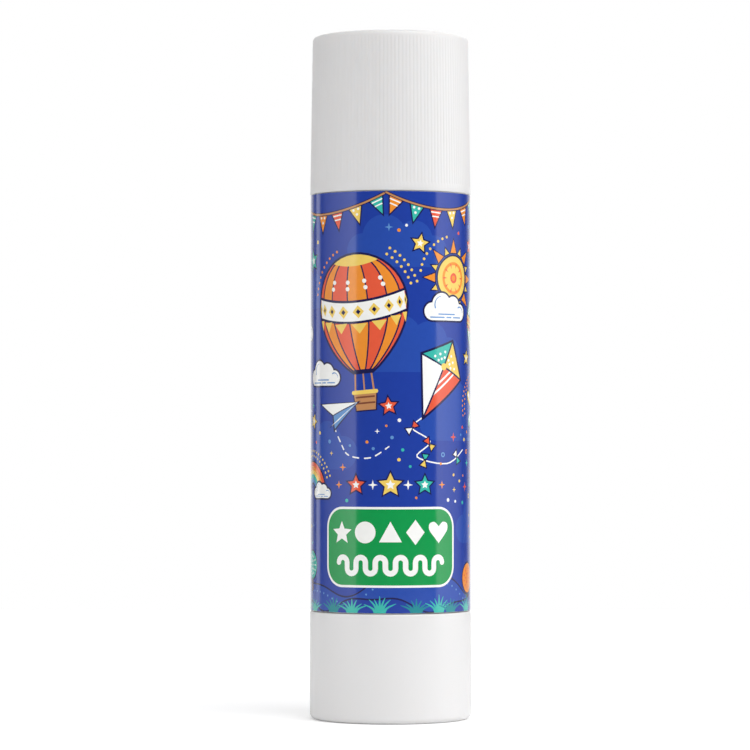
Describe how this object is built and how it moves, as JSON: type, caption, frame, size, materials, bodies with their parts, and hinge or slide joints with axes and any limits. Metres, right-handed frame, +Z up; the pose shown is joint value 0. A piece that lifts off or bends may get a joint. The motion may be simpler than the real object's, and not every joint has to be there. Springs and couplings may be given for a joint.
{
  "type": "glue stick",
  "caption": "Twist-up glue stick: turning the knob drives a left-hand screw that raises the glue out of the barrel; a ribbed push-on cap closes it.",
  "frame": {"origin": "on the stick's axis, at the level of the knob's foot that it stands on", "axes": "+Z up the stick's axis to the cap; -Y towards the front of the label, whose lap seam is at +Y"},
  "size_m": [0.0194, 0.0194, 0.082],
  "materials": {
    "barrel_moulding": "white moulded polypropylene, satin",
    "label_film": "glossy printed film, mostly royal blue",
    "knob_moulding": "white moulded polypropylene, smooth and glossy",
    "spindle_moulding": "natural moulded polyethylene, waxy",
    "carrier_moulding": "natural moulded polyethylene, waxy",
    "glue_mass": "cast white glue, soft and slightly translucent",
    "cap_moulding": "white moulded polypropylene with fine upright ribs"
  },
  "bodies": {
    "barrel": {"barrel": "barrel_moulding", "label": "label_film"},
    "knob": {"knob": "knob_moulding", "spindle": "spindle_moulding"},
    "carrier": {"carrier": "carrier_moulding", "glue": "glue_mass"},
    "cap": {"cap": "cap_moulding"}
  },
  "joints": [
    {"name": "knob_turn", "type": "hinge", "parent": "barrel", "child": "knob", "pos_m": [0, 0, 0], "axis": [0, 0, 1], "range_deg": [0, 5040]},
    {"name": "glue_lift", "type": "slide", "parent": "barrel", "child": "carrier", "axis": [0, 0, 1], "range_m": [0, 0.056]},
    {"name": "cap_pull", "type": "slide", "parent": "carrier", "child": "cap", "axis": [0, 0, 1], "range_m": [0, 0.03]}
  ],
  "couplings": [
    {"joint": "knob_turn", "follows": "glue_lift", "rad_per_m": 1570.8}
  ]
}
